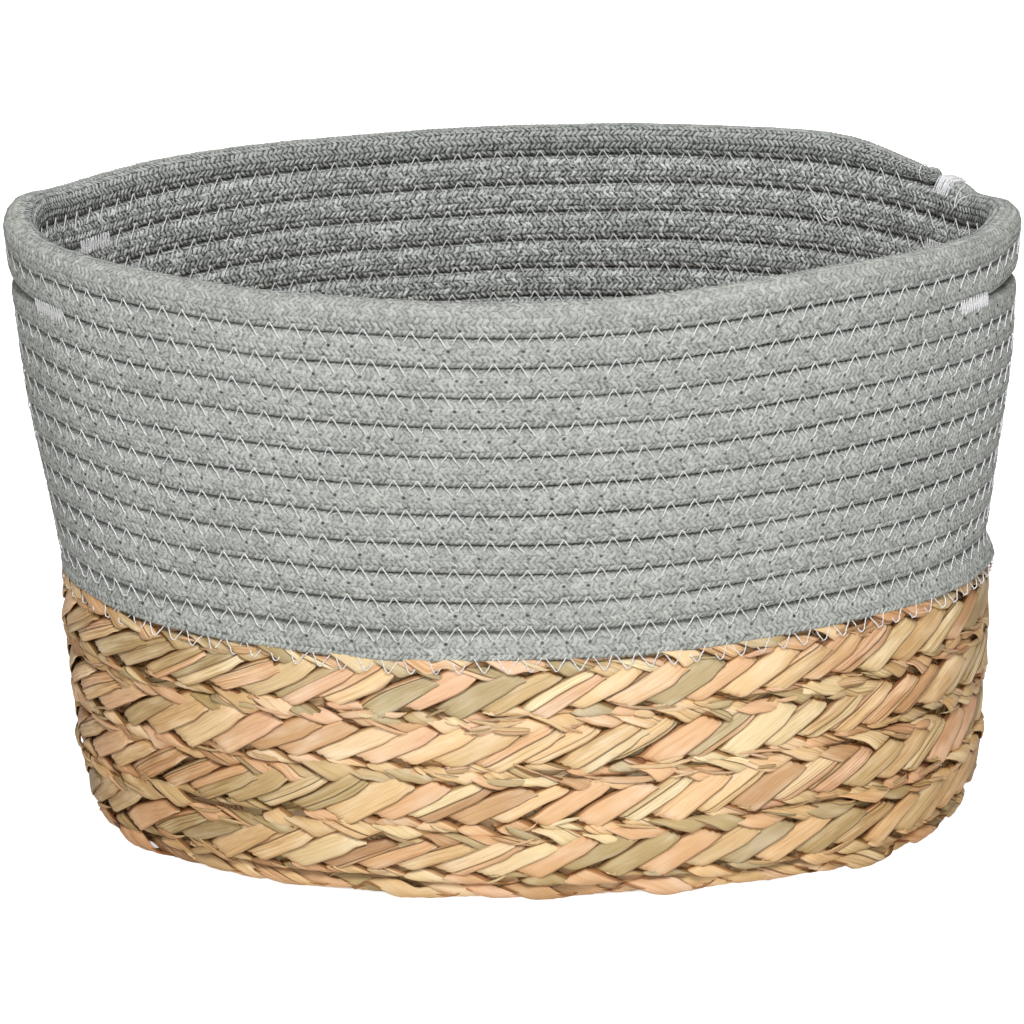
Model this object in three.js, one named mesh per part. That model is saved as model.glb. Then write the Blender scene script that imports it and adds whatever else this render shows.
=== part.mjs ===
import * as THREE from 'three';

// An oval storage basket. A flat plaited base carries four rows of plaited straw, and twelve rows
// of cotton rope are sewn on top of them. The rope is one length, wound clockwise as it climbs
// (seen from above), and so is each plait. The seam below the second rope row is left open round
// both ends as a hand slot, and a bar tack closes the seam again at each end of a slot.
// Millimetres, +Z up. The origin is on the floor under the middle of the rim, with the long way
// of the oval along X.

// The oval, at the middle of the wall's thickness
const RIM_HALF_LENGTH = 146.4;
const RIM_HALF_WIDTH = 98.7;
const KNUCKLE_HALF_LENGTH = 133; // the knuckle is where the wall turns in to the foot
const KNUCKLE_HALF_WIDTH = 87.3;
const FOOT_HALF_LENGTH = 129.5;
const FOOT_HALF_WIDTH = 84;
const KNUCKLE_HEIGHT = 25;
const RIM_OVAL_POWER = 1.77; // 2 is an ellipse, and less is more pointed at the ends
const FOOT_OVAL_POWER = 1.95;
const CORE_OVAL_POWER = 2.6; // the long first row in the middle of the base
const RIM_LEAN = 6.1; // how far the soft rim sits towards -X of the foot

// The rope wall
const ROPE_WALL_HEIGHT = 107.16;
const ROPE_ROWS = 12; // they share the height
const ROPE_WIDTH = 10.4; // through the wall
const ROPE_SEAM = 0.73; // clearance between two rows
const RIM_CROWN = 5.2; // the top row is round above its middle
const ROPE_END_TAPER = 0.55; // the rope's end is pressed thin and tucked in
const ROPE_END_TUCK = 2; // towards the inside

// The plaited wall and base
const BRAID_WALL_HEIGHT = 68.8;
const BRAID_ROWS = 4; // they share the height
const BRAID_THICKNESS = 7;
const BRAID_SEAM = 0.5;
const BRAID_EDGE = 3.2; // the folded edge of the plait, where it thins out
const BASE_ROWS = 5;
const BASE_THICKNESS = 6;
const BASE_SEAM = 0.7;
const BASE_SEAT = 0.4; // clearance under the wall

// Where the rows step up, as an angle from +X towards +Y, and how much of a turn that takes
const STEP_DEGREES = 94.5;
const STEP_SHARE = 0.2;

// The hand slots and their bar tacks
const ROWS_ABOVE_SLOT = 2;
const SLOT_HALF_WIDTH = 33; // along Y, from the middle to a tack
const SLOT_OPEN_HALF_WIDTH = 10; // the stretch that stands fully open
const SLOT_LIFT = 2.4; // of the rows above it
const SLOT_DROP = 1.8; // of the row below it
const TACK_LENGTH = 9;
const TACK_HEIGHT = 5;
const TACK_THICKNESS = 0.7;
const TACK_SINK = 0.4; // into the groove between the two rows

// How finely the turns are drawn
const STEPS_PER_TURN = 24;

const ropePitch = ROPE_WALL_HEIGHT / ROPE_ROWS;
const ropeHeight = ropePitch - ROPE_SEAM; // the rope is pressed flat between its seams
const braidPitch = BRAID_WALL_HEIGHT / BRAID_ROWS;
const wallFoot = BASE_THICKNESS + BASE_SEAT;
const wallTop = wallFoot + BRAID_WALL_HEIGHT + ROPE_WALL_HEIGHT;
const baseHalfLength = FOOT_HALF_LENGTH + BRAID_THICKNESS / 2;
const baseHalfWidth = FOOT_HALF_WIDTH + BRAID_THICKNESS / 2;
const frontShare = (STEP_DEGREES + 90) / 360; // of a turn, from the step to the front

const mix = (from, to, share) => from + (to - from) * share;
const signedPower = (value, power) => Math.sign(value) * Math.abs(value) ** power;
const rampUp = (share) => THREE.MathUtils.smoothstep(share, 0, STEP_SHARE);

// The angle after some turns, clockwise from the place where the rows step up.
function angleAfter(turns) {
  return THREE.MathUtils.degToRad(STEP_DEGREES - 360 * turns);
}

// A point of an oval |x/a|^n + |y/b|^n = 1, moved outwards square to it.
function ovalPoint(angle, halfLength, halfWidth, power, outward = 0) {
  const along = Math.cos(angle);
  const across = Math.sin(angle);
  const normal = new THREE.Vector2(
    signedPower(along, 2 - 2 / power) / halfLength,
    signedPower(across, 2 - 2 / power) / halfWidth,
  ).normalize();
  return new THREE.Vector2(
    halfLength * signedPower(along, 2 / power),
    halfWidth * signedPower(across, 2 / power),
  ).addScaledVector(normal, outward);
}

// The wall leans out in a straight line, and below the knuckle it curves in to the foot.
function halfSpan(height, foot, knuckle, rim) {
  if (height < KNUCKLE_HEIGHT) {
    return mix(foot, knuckle, Math.sin((Math.PI / 2) * (height / KNUCKLE_HEIGHT)));
  }
  return mix(knuckle, rim, (height - KNUCKLE_HEIGHT) / (wallTop - KNUCKLE_HEIGHT));
}

function wallPoint(angle, height, outward) {
  const rise = height / wallTop;
  const point = ovalPoint(
    angle,
    halfSpan(height, FOOT_HALF_LENGTH, KNUCKLE_HALF_LENGTH, RIM_HALF_LENGTH),
    halfSpan(height, FOOT_HALF_WIDTH, KNUCKLE_HALF_WIDTH, RIM_HALF_WIDTH),
    mix(FOOT_OVAL_POWER, RIM_OVAL_POWER, rise),
    outward,
  );
  return new THREE.Vector3(point.x + RIM_LEAN * (1 - rise), point.y, height);
}

function basePoint(angle, inward, height) {
  const power = mix(FOOT_OVAL_POWER, CORE_OVAL_POWER, inward / baseHalfWidth);
  const point = ovalPoint(angle, baseHalfLength - inward, baseHalfWidth - inward, power);
  return new THREE.Vector3(point.x + RIM_LEAN, point.y, height);
}

// The edge between two rows of the wall, at a share of a turn. The lowest is level, and the
// edges above it tilt more and more until the top one has the slope of the rope.
function rowEdge(row, share) {
  const slope = ropePitch / BRAID_ROWS;
  return wallFoot + row * (braidPitch + slope * (share - frontShare));
}

// The same edge followed through the step, where it leaves one row's height for the next.
function risingEdge(row, share) {
  return mix(rowEdge(row, 1 + share), rowEdge(row + 1, share), rampUp(share));
}

// The underside of the rope after some turns of it, without the slots.
function ropeSeat(turns) {
  return rowEdge(BRAID_ROWS, STEP_SHARE + turns);
}

// A closed tube through rings of points, each anticlockwise seen from ahead, with flat ends.
function tubeGeometry(rings) {
  const sides = rings[0].length;
  const index = [];
  for (let ring = 0; ring + 1 < rings.length; ring++) {
    for (let side = 0; side < sides; side++) {
      const here = ring * sides + side;
      const next = ring * sides + ((side + 1) % sides);
      index.push(here, next, here + sides, next, next + sides, here + sides);
    }
  }
  const last = (rings.length - 1) * sides;
  for (let side = 1; side + 1 < sides; side++) {
    index.push(0, side + 1, side, last, last + side, last + side + 1);
  }
  const geometry = new THREE.BufferGeometry();
  const points = rings.flat().flatMap((point) => point.toArray());
  geometry.setAttribute('position', new THREE.Float32BufferAttribute(points, 3));
  geometry.setIndex(index);
  geometry.computeVertexNormals();
  return geometry;
}

// Rings from one count of turns to another, on whole steps and at both ends.
function windRings(from, to, ringAt) {
  const rings = [ringAt(from)];
  for (let step = Math.floor(from * STEPS_PER_TURN) + 1; step < to * STEPS_PER_TURN; step++) {
    rings.push(ringAt(step / STEPS_PER_TURN));
  }
  rings.push(ringAt(to));
  return rings;
}

// The least distance from a winding to its own other turns, on points of its faces.
function leastGap(rings) {
  const points = [];
  rings.slice(0, -1).forEach((ring, place) => {
    ring.forEach((point, side) => {
      const beside = ring[(side + 1) % ring.length];
      const ahead = rings[place + 1][side];
      for (const share of [0, 0.33, 0.67]) {
        points.push({ place, at: point.clone().lerp(beside, share) });
        points.push({ place, at: point.clone().lerp(ahead, share) });
      }
    });
  });
  let least = Infinity;
  points.forEach((one, first) => {
    for (let other = first + 1; other < points.length; other++) {
      if (points[other].place - one.place < STEPS_PER_TURN / 2) continue;
      least = Math.min(least, one.at.distanceToSquared(points[other].at));
    }
  });
  return Math.sqrt(least);
}

// How far a hand slot stands open at a place of the wall, from 0 at its tacks to 1.
function slotShare(angle) {
  const power = 2 / RIM_OVAL_POWER;
  const fromMiddle = RIM_HALF_WIDTH * Math.abs(Math.sin(angle)) ** power;
  return 1 - THREE.MathUtils.smoothstep(fromMiddle, SLOT_OPEN_HALF_WIDTH, SLOT_HALF_WIDTH);
}

// How much a rope row is pushed up, or down, by a slot. The rows below share the push.
function slotShift(angle, turns) {
  const slotRow = ROPE_ROWS - ROWS_ABOVE_SLOT;
  if (turns >= slotRow) {
    return SLOT_LIFT * slotShare(angle);
  }
  const rowsDown = Math.ceil(slotRow - turns) - 1;
  return -SLOT_DROP * (1 - rowsDown / (slotRow - 1)) * slotShare(angle);
}

// One ring of the rope: a flattened hexagon, rounder on top in the last row.
function ropeRing(turns) {
  const angle = angleAfter(STEP_SHARE + turns);
  const isEnd = turns >= ROPE_ROWS;
  const isRim = turns > ROPE_ROWS - 1;
  const size = isEnd ? ROPE_END_TAPER : 1;
  const tuck = isEnd ? ROPE_END_TUCK : 0;
  const below = (size * ropeHeight) / 2;
  const above = size * (isRim ? RIM_CROWN : ropeHeight / 2);
  const underside = ropeSeat(turns) + ROPE_SEAM / 2 + slotShift(angle, turns);
  const middle = underside + below;
  const half = (size * ROPE_WIDTH) / 2;
  return [
    wallPoint(angle, middle, -half - tuck),
    wallPoint(angle, middle - below, -half / 2 - tuck),
    wallPoint(angle, middle - below, half / 2 - tuck),
    wallPoint(angle, middle, half - tuck),
    wallPoint(angle, middle + above, half / 2 - tuck),
    wallPoint(angle, middle + above, -half / 2 - tuck),
  ];
}

// One ring of the plaited wall: a flat strip on edge, thin at its folded edges. It starts from
// nothing on the base, and ends as narrow as the rope, which goes on from there.
function wallRing(turns) {
  const angle = angleAfter(turns);
  const row = Math.floor(turns);
  const share = turns - row;
  const low = (row === 0 ? wallFoot : risingEdge(row - 1, share)) + BRAID_SEAM / 2;
  const high = (row < BRAID_ROWS ? risingEdge(row, share) : rowEdge(row, 1 + share)) - BRAID_SEAM / 2;
  const edge = Math.min(BRAID_EDGE, (high - low) / 4);
  const half = BRAID_THICKNESS / 2;
  return [
    wallPoint(angle, low, 0),
    wallPoint(angle, low + edge, half),
    wallPoint(angle, high - edge, half),
    wallPoint(angle, high, 0),
    wallPoint(angle, high - edge, -half),
    wallPoint(angle, low + edge, -half),
  ];
}

// One ring of the base: the same strip lying flat. Its underside is cut flat to stand on.
function baseRing(turns) {
  const angle = angleAfter(turns);
  const pitch = baseHalfWidth / BASE_ROWS;
  const inwardOf = (row) => pitch * (BASE_ROWS - THREE.MathUtils.clamp(row, 0, BASE_ROWS));
  const row = Math.floor(turns);
  const step = rampUp(turns - row);
  const inner = mix(inwardOf(row - 1), inwardOf(row), step) - BASE_SEAM / 2;
  const outer = mix(inwardOf(row), inwardOf(row + 1), step) + BASE_SEAM / 2;
  const edge = Math.min(BRAID_EDGE, (inner - outer) / 4);
  return [
    basePoint(angle, outer, BASE_THICKNESS / 2),
    basePoint(angle, outer + edge, BASE_THICKNESS),
    basePoint(angle, inner - edge, BASE_THICKNESS),
    basePoint(angle, inner, BASE_THICKNESS / 2),
    basePoint(angle, inner - edge, 0),
    basePoint(angle, outer + edge, 0),
  ];
}

// A bar tack across the seam at one end of a slot, on one face of the wall.
function tackGeometry(slotTurns, side, face) {
  const power = RIM_OVAL_POWER / 2;
  const angleAt = (fromMiddle) => Math.asin((fromMiddle / RIM_HALF_WIDTH) ** power);
  const near = ROPE_WIDTH / 2 - TACK_SINK;
  const far = near + TACK_THICKNESS;
  const steps = 3;
  const rings = [];
  for (let step = 0; step <= steps; step++) {
    const fromMiddle = SLOT_HALF_WIDTH + (TACK_LENGTH * step) / steps;
    const turns = slotTurns - (side * angleAt(fromMiddle)) / (2 * Math.PI);
    const angle = angleAfter(STEP_SHARE + turns);
    const seam = ropeSeat(turns);
    const corners = [
      [near, -0.5],
      [far, -0.5],
      [far, 0.5],
      [near, 0.5],
    ];
    const ring = corners.map(([outward, up]) => (
      wallPoint(angle, seam + up * TACK_HEIGHT, face * outward)
    ));
    rings.push(face * side > 0 ? ring.reverse() : ring);
  }
  return tubeGeometry(rings);
}

const rope = new THREE.MeshStandardMaterial({ color: 0x9ea39a, roughness: 0.95, metalness: 0 });
const straw = new THREE.MeshStandardMaterial({ color: 0xcda775, roughness: 0.75, metalness: 0 });
const thread = new THREE.MeshStandardMaterial({ color: 0xe9e8ea, roughness: 0.8, metalness: 0 });

const basket = new THREE.Group();

function addPiece(name, geometry, material) {
  const mesh = new THREE.Mesh(geometry, material);
  mesh.name = name;
  basket.add(mesh);
}

const plaitStart = STEP_SHARE / 4; // where the plait, tapered, is a few millimetres wide
const plaitMeetsRope = 0.001; // of a turn, between the plait's end and the rope's start
const windings = {
  braided_base: [windRings(plaitStart, BASE_ROWS + STEP_SHARE - plaitStart, baseRing), straw],
  braided_wall: [windRings(plaitStart, BRAID_ROWS + STEP_SHARE - plaitMeetsRope, wallRing), straw],
  rope_wall: [windRings(0, ROPE_ROWS, ropeRing), rope],
};
for (const [name, [rings, material]] of Object.entries(windings)) {
  console.log(`${name}: least gap to itself ${leastGap(rings).toFixed(2)} mm`);
  addPiece(name, tubeGeometry(rings), material);
}

// The slots' seam passes the right end first, at 0 degrees, and then the left end. The rope runs
// from the back to the front at the right, and from the front to the back at the left.
const slotTurnsAt = (degrees) => (
  ROPE_ROWS - ROWS_ABOVE_SLOT + (STEP_DEGREES - degrees) / 360 - STEP_SHARE
);
const tackPlaces = {
  right_back: [slotTurnsAt(0), 1],
  right_front: [slotTurnsAt(0), -1],
  left_front: [slotTurnsAt(-180), 1],
  left_back: [slotTurnsAt(-180), -1],
};
for (const [place, [slotTurns, side]] of Object.entries(tackPlaces)) {
  for (const [face, facing] of [['outer', 1], ['inner', -1]]) {
    addPiece(`slot_tack_${place}_${face}`, tackGeometry(slotTurns, side, facing), thread);
  }
}

export default basket;
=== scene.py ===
import math

import bpy
import numpy as np
from bpy.props import FloatProperty, FloatVectorProperty, IntProperty, PointerProperty
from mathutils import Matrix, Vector


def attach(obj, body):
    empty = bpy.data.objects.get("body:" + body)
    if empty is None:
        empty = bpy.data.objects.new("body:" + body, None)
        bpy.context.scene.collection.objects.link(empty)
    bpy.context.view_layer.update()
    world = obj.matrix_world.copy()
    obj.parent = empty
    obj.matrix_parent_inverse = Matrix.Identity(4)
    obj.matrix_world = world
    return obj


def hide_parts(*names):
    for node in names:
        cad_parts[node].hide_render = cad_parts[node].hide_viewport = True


bl_info = {
    "name": "Oval Rope Basket",
    "version": (1, 0, 0),
    "blender": (4, 5, 0),
    "location": "3D Viewport > Sidebar > Basket",
    "description": "Braided rope, plaited straw and sewing thread of an oval storage basket",
    "category": "Add Mesh",
}

# Everything is in metres in the row frame. The oval's sizes are those of the CAD source, so the
# rope, the plaits and the seams lie where its solids lie.
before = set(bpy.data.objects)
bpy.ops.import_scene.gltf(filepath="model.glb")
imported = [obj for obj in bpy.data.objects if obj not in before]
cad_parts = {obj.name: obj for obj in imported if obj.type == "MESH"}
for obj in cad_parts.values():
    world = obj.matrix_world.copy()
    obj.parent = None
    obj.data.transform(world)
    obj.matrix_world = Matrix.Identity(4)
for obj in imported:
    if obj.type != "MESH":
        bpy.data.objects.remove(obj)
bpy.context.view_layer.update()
MM = 0.001


def length(name, description, millimetres):
    """A property for one size of the basket, given in millimetres."""
    return FloatProperty(
        name=name, description=description, default=millimetres * MM, unit="LENGTH", precision=5
    )


def angle(name, description, degrees):
    return FloatProperty(
        name=name, description=description, default=math.radians(degrees), subtype="ANGLE"
    )


def number(name, description, default):
    return FloatProperty(name=name, description=description, default=default)


def count(name, description, default):
    return IntProperty(name=name, description=description, default=default)


def colour(name, description, *light):
    """A property for one colour, given in linear light."""
    return FloatVectorProperty(
        name=name, description=description, default=light, subtype="COLOR", size=3, min=0, max=1
    )


class BasketOval(bpy.types.PropertyGroup):
    """The oval that rope and plait are wound on, at the middle of the wall's thickness."""

    rim_half_length: length("Rim Half Length", "Half the long way of the rim", 146.4)
    rim_half_width: length("Rim Half Width", "Half the short way of the rim", 98.7)
    knuckle_half_length: length("Knuckle Half Length", "Half the long way where the wall turns in", 133)
    knuckle_half_width: length("Knuckle Half Width", "Half the short way where the wall turns in", 87.3)
    foot_half_length: length("Foot Half Length", "Half the long way at the floor", 129.5)
    foot_half_width: length("Foot Half Width", "Half the short way at the floor", 84)
    knuckle_height: length("Knuckle Height", "Height where the wall turns in to the foot", 25)
    base_margin: length("Base Margin", "How far the base reaches out past the wall's middle", 3.5)
    rim_lean: length("Rim Lean", "How far the soft rim leans to the left of the foot", 6.1)
    plait_bulge: length("Plait Bulge", "How far the soft plait stands out", 2.2)
    rope_draw: length("Rope Draw", "How far the lowest rows of rope are drawn in", 2.2)
    end_waist: length("End Waist", "How far the ends are drawn in where rope and plait meet", 1.4)
    hang: length("Hang", "How far the front rows hang at the left and rise at the right", 1.9)
    rim_power: number("Rim Oval Power", "2 is an ellipse, less is pointed", 1.77)
    foot_power: number("Foot Oval Power", "2 is an ellipse, more is squarer", 1.95)
    core_power: number("Core Oval Power", "Of the long first row of the base", 2.6)
    step_angle: angle("Step Angle", "Where the plait's rows step up, from the right end", 94.5)
    step_share: number("Step Share", "How much of a turn a step up takes", 0.2)


class BasketRope(bpy.types.PropertyGroup):
    """The cotton rope of the upper wall."""

    rows: count("Rows", "Turns of the rope", 12)
    wall_height: length("Rope Wall Height", "Of all the rope rows", 107.16)
    width: length("Rope Width", "Through the wall", 10.4)
    crown: length("Rim Crown", "Height of the free top row above its middle", 5.3)
    end_tuck: length("End Tuck", "How far the rope's end turns into the basket", 2.2)
    end_rise: length("End Rise", "How far the row below rises round the end", 0.5)
    end_lift: length("End Lift", "How far the row beside the end stands up", 2.9)
    end_girth: number("End Girth", "Of the rope's drawn-in end, against the rest", 0.52)
    squareness: number("Squareness", "2 is round, more is pressed flat", 3.7)
    columns: count("Columns", "Columns of the braid round the rope", 16)
    stroke: length("Stroke", "One strand of the braid, along the rope", 1.7)
    slant: length("Slant", "How far a strand runs on while it crosses its column", 1.5)
    relief: length("Relief", "Height of a strand of the braid", 0.15)
    yarn: colour("Yarn", "Of the cotton", 0.454, 0.466, 0.436)
    shade: colour("Shade", "Between the strands", 0.195, 0.206, 0.187)


class BasketPlait(bpy.types.PropertyGroup):
    """The plaited straw of the lower wall and the base."""

    wall_rows: count("Wall Rows", "Rows of plait in the wall", 4)
    wall_height: length("Plait Wall Height", "Of all the rows of plait in the wall", 68.8)
    wall_lap: length("Wall Lap", "How far a row of the wall laps the one below", 1.0)
    base_rows: count("Base Rows", "Rows of plait in the base", 5)
    base_thickness: length("Base Thickness", "Of the plait that lies flat", 6)
    base_seat: length("Base Seat", "Between the base and the wall on it", 0.4)
    base_lap: length("Base Lap", "How far a row of the base laps the next", 2.2)
    strands: count("Strands", "Strands in the plait", 7)
    spacing: length("Spacing", "From one strand to the next along the row", 11.8)
    strand_width: length("Strand Width", "Across a flattened strand", 6.0)
    strand_thickness: length("Strand Thickness", "Of a flattened strand", 0.65)
    layer: length("Layer", "From the plait's middle to the middle of a strand", 1.5)
    bulge: length("Bulge", "How far the middle of a strand stands above its edges", 0.35)
    fold_run: length("Fold Run", "How far a strand runs on along the edge as it folds", 2.0)
    shingle: number("Shingle", "How much a strand leans over the next one", 0.24)
    step: length("Step", "Along a strand, from one ring of points to the next", 1.3)
    slivers: count("Slivers", "Loose slivers of leaf on the wall", 320)


class BasketThread(bpy.types.PropertyGroup):
    """The sewing thread in the seams and the tacks."""

    thickness: length("Thread Thickness", "Across the thread", 0.37)
    stitch: length("Stitch", "One leg of the zigzag, along the seam", 3.38)
    above: length("Above Seam", "How high the zigzag's peaks stand on the upper row", 2.3)
    below: length("Below Seam", "How low its legs reach on the lower row", 3.4)
    tack_pitch: length("Tack Pitch", "One leg of a tack's zigzag, along the seam", 0.62)
    white: colour("White", "Of the thread", 0.86, 0.86, 0.87)


class BasketHandSlots(bpy.types.PropertyGroup):
    """The open seams under the rim, one in each end."""

    rows_above: count("Rows Above", "Rope rows above a slot", 2)
    right_front: length("Right Front", "From the right end's middle to the front tack", 35)
    right_back: length("Right Back", "From the right end's middle to the back tack", 23)
    left_front: length("Left Front", "From the left end's middle to the front tack", 24)
    left_back: length("Left Back", "From the left end's middle to the back tack", 33)
    lift: length("Lift", "Of the rows above the slot", 1.5)
    drop: length("Drop", "Of the row below the slot", 0.9)
    tack_length: length("Tack Length", "Along the seam", 12)
    tack_height: length("Tack Height", "Across the seam", 5)


class BasketStage(bpy.types.PropertyGroup):
    """The camera and the light."""

    lens: number("Lens", "In millimetres on a 36 mm sensor", 214.3)
    distance: length("Distance", "From the camera to the aim", 1831.6)
    elevation: angle("Elevation", "Above the floor", 17.1)
    turn: angle("Turn", "To the left of the front", 4.98)
    aim_height: length("Aim Height", "Of the point looked at", 100)
    floor: colour("Floor", "Pale and plain", 0.86, 0.86, 0.86)


GROUPS = {
    "basket_oval": BasketOval,
    "basket_rope": BasketRope,
    "basket_plait": BasketPlait,
    "basket_thread": BasketThread,
    "basket_slots": BasketHandSlots,
    "basket_stage": BasketStage,
}


# The oval, and what is wound on it

STEPS_PER_TURN = 360  # points of a guide line
TURN_LENGTH = 0.78  # about the length of one turn of the rope at the rim
PLAIT_START, PLAIT_END = 0.02, 0.19  # where in the step up a plait starts and ends, in turns
NO_SEAM = -9.0  # what the rim row has for the seam above it
PLAIT_FACE = 3.3 * MM  # from the plait's middle to the thread on it
ROPE_LOOSENESS, PLAIT_LOOSENESS = 0.3 * MM, 1.3 * MM  # how unevenly the thread lies on each

# Where hand-guided rows stray up or down: the place round the oval and the reach in degrees, and
# how many millimetres the rim's seam strays. The seams below stray less and less.
STRAYS = ((95, 22, -1.7), (41, 22, 1.9), (16, 7, -0.6), (168, 10, 1.5), (-50, 24, 2.2))

# Where the foot stands out, or in, in the same units.
FOOT_SWELLS = ((-50, 22, 6.5), (-6, 16, -0.4), (-92, 26, 3.2), (-128, 14, 2.5))


def mix(low, high, share):
    return low + (high - low) * share


def smooth(value, low, high):
    share = np.clip((value - low) / (high - low), 0, 1)
    return share * share * (3 - 2 * share)


def signed_power(value, power):
    return np.sign(value) * np.abs(value) ** power


def bumps(around, places):
    """The sum of smooth bumps round the oval, each with its place, its reach and its height."""
    total = 0.0
    for place, reach, height in places:
        away = (around - math.radians(place) + math.pi) % math.tau - math.pi
        total = total + height * MM * np.exp(-((away / math.radians(reach)) ** 2))
    return total


def stack(*parts):
    return np.stack(np.broadcast_arrays(*parts), axis=-1)


def unit(vectors):
    return vectors / np.linalg.norm(vectors, axis=-1, keepdims=True)


def oval_point(around, half_length, half_width, power, outward):
    """A point of the oval |x/a|^n + |y/b|^n = 1, moved outwards square to it."""
    along, across = np.cos(around), np.sin(around)
    bend = 2 - 2 / power
    normal = unit(stack(signed_power(along, bend) / half_length, signed_power(across, bend) / half_width))
    x = half_length * signed_power(along, 2 / power) + normal[..., 0] * outward
    y = half_width * signed_power(across, 2 / power) + normal[..., 1] * outward
    return x, y


class Winding:
    """Says where the rows lie: the places of the CAD source's windings, in metres."""

    def __init__(self, scene):
        self.oval, self.rope = scene.basket_oval, scene.basket_rope
        self.plait, self.slots = scene.basket_plait, scene.basket_slots
        self.rope_pitch = self.rope.wall_height / self.rope.rows
        self.plait_pitch = self.plait.wall_height / self.plait.wall_rows
        self.wall_foot = self.plait.base_thickness + self.plait.base_seat
        self.wall_top = self.wall_foot + self.plait.wall_height + self.rope.wall_height
        self.join = self.wall_top - self.rope.wall_height
        self.front_share = (self.oval.step_angle + math.pi / 2) / math.tau
        self.rope_turns = np.linspace(0, self.rope.rows, self.rope.rows * STEPS_PER_TURN + 1)

    def plait_angle(self, turns):
        """Clockwise, seen from above, from the place where the rows step up."""
        return self.oval.step_angle - math.tau * turns

    def rope_angle(self, turns):
        """The rope starts where the step up ends."""
        return self.plait_angle(self.oval.step_share + turns)

    def half_span(self, height, foot, knuckle, rim):
        bend = self.oval.knuckle_height
        low = mix(foot, knuckle, np.sin(np.pi / 2 * np.clip(height / bend, 0, 1)))
        high = mix(knuckle, rim, (height - bend) / (self.wall_top - bend))
        return np.where(height < bend, low, high)

    def fullness(self, height):
        """The plait bulges a little, and the lowest rows of rope are drawn in over it."""
        join = self.join
        plait = self.oval.plait_bulge * smooth(height, 0, 18 * MM)
        plait = plait * (1 - smooth(height, join, join + 6 * MM))
        rope = self.oval.rope_draw * smooth(height, join - 2 * MM, join + 4 * MM)
        return plait - rope * (1 - smooth(height, join + 4 * MM, join + 70 * MM))

    def hanging(self, around, height):
        """Rows guided by hand hang lower at the front left and rise at the front right."""
        along = np.cos(around)
        right = smooth(along, 0.15, 0.7)
        left = smooth(-along, -0.2, 0.5) * (1 - 0.5 * smooth(-along, 0.8, 1))
        at_front = smooth(-np.sin(around), -0.5, 0.3)
        above = 1 - 0.6 * (height - self.join) / self.rope.wall_height
        share = np.where(height < self.join, height / self.join, above)
        return self.oval.hang * (right - left) * at_front * share

    def wall_point(self, around, height, outward=0.0):
        oval = self.oval
        rise = height / self.wall_top
        more = self.fullness(height)
        waist = oval.end_waist * np.exp(-(((height - self.join) / (20 * MM)) ** 2))
        long_way = (oval.foot_half_length, oval.knuckle_half_length, oval.rim_half_length)
        short_way = (oval.foot_half_width, oval.knuckle_half_width, oval.rim_half_width)
        swell = bumps(around, FOOT_SWELLS) * (1 - smooth(height, 8 * MM, 70 * MM))
        x, y = oval_point(
            around,
            more - waist + self.half_span(height, *long_way),
            more + self.half_span(height, *short_way),
            mix(oval.foot_power, oval.rim_power, rise),
            outward + swell,
        )
        return stack(x + oval.rim_lean * (1 - rise), y, height + self.hanging(around, height))

    def base_point(self, around, inward, height):
        oval = self.oval
        half_length = oval.foot_half_length + oval.base_margin
        half_width = oval.foot_half_width + oval.base_margin
        power = mix(oval.foot_power, oval.core_power, inward / half_width)
        swell = bumps(around, FOOT_SWELLS) * (1 - inward / half_width)
        x, y = oval_point(around, half_length - inward, half_width - inward, power, swell)
        return stack(x + oval.rim_lean, y, height)

    def row_edge(self, row, share):
        """Height of the edge under a row of plait. The edges tilt more and more to the rope's slope."""
        slope = self.rope_pitch / self.plait.wall_rows
        return self.wall_foot + row * (self.plait_pitch + slope * (share - self.front_share))

    def ramp(self, share):
        return smooth(share, 0, self.oval.step_share)

    def rising_edge(self, row, share):
        return mix(self.row_edge(row, 1 + share), self.row_edge(row + 1, share), self.ramp(share))

    def rope_seat(self, turns):
        """Height of the rope's underside after some turns of it."""
        return self.row_edge(self.plait.wall_rows, self.oval.step_share + turns)

    def seam_height(self, turns):
        """Height of the seam under the rope after some turns, with its strays."""
        stray = bumps(self.rope_angle(turns), STRAYS)
        nearest = np.round(turns)  # the rope ends after a whole number of turns
        from_end = np.abs(turns - nearest) * TURN_LENGTH
        rise = self.rope.end_rise * 0.5 ** (self.rope.rows - nearest) * np.exp(-from_end / (12 * MM))
        return self.rope_seat(turns) + stray * np.minimum(turns / self.rope.rows, 1) + rise

    def slot_ends(self):
        """The end of the basket that each hand slot is in, and its edges, front edge first."""
        slots = self.slots
        return (
            ("right", -slots.right_front, slots.right_back),
            ("left", -slots.left_front, slots.left_back),
        )

    def slot_turns(self, end, across):
        """How far along the rope's seam a place of a slot lies, by its distance from the middle."""
        around = math.asin((abs(across) / self.oval.rim_half_width) ** (self.oval.rim_power / 2))
        around = math.copysign(around, across)
        if end == "left":
            around = -math.pi - around
        turns = self.rope.rows - self.slots.rows_above
        return turns + (self.oval.step_angle - around) / math.tau - self.oval.step_share

    def slot_share(self, around):
        """1 at the middle of a hand slot, and less towards its ends."""
        slots = self.slots
        across = self.oval.rim_half_width * signed_power(np.sin(around), 2 / self.oval.rim_power)
        front = np.where(np.cos(around) > 0, slots.right_front, slots.left_front)
        back = np.where(np.cos(around) > 0, slots.right_back, slots.left_back)
        middle, half = (back - front) / 2, (back + front) / 2
        return 1 - smooth(np.abs(across - middle), half * 0.25, half * 1.02)

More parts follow.
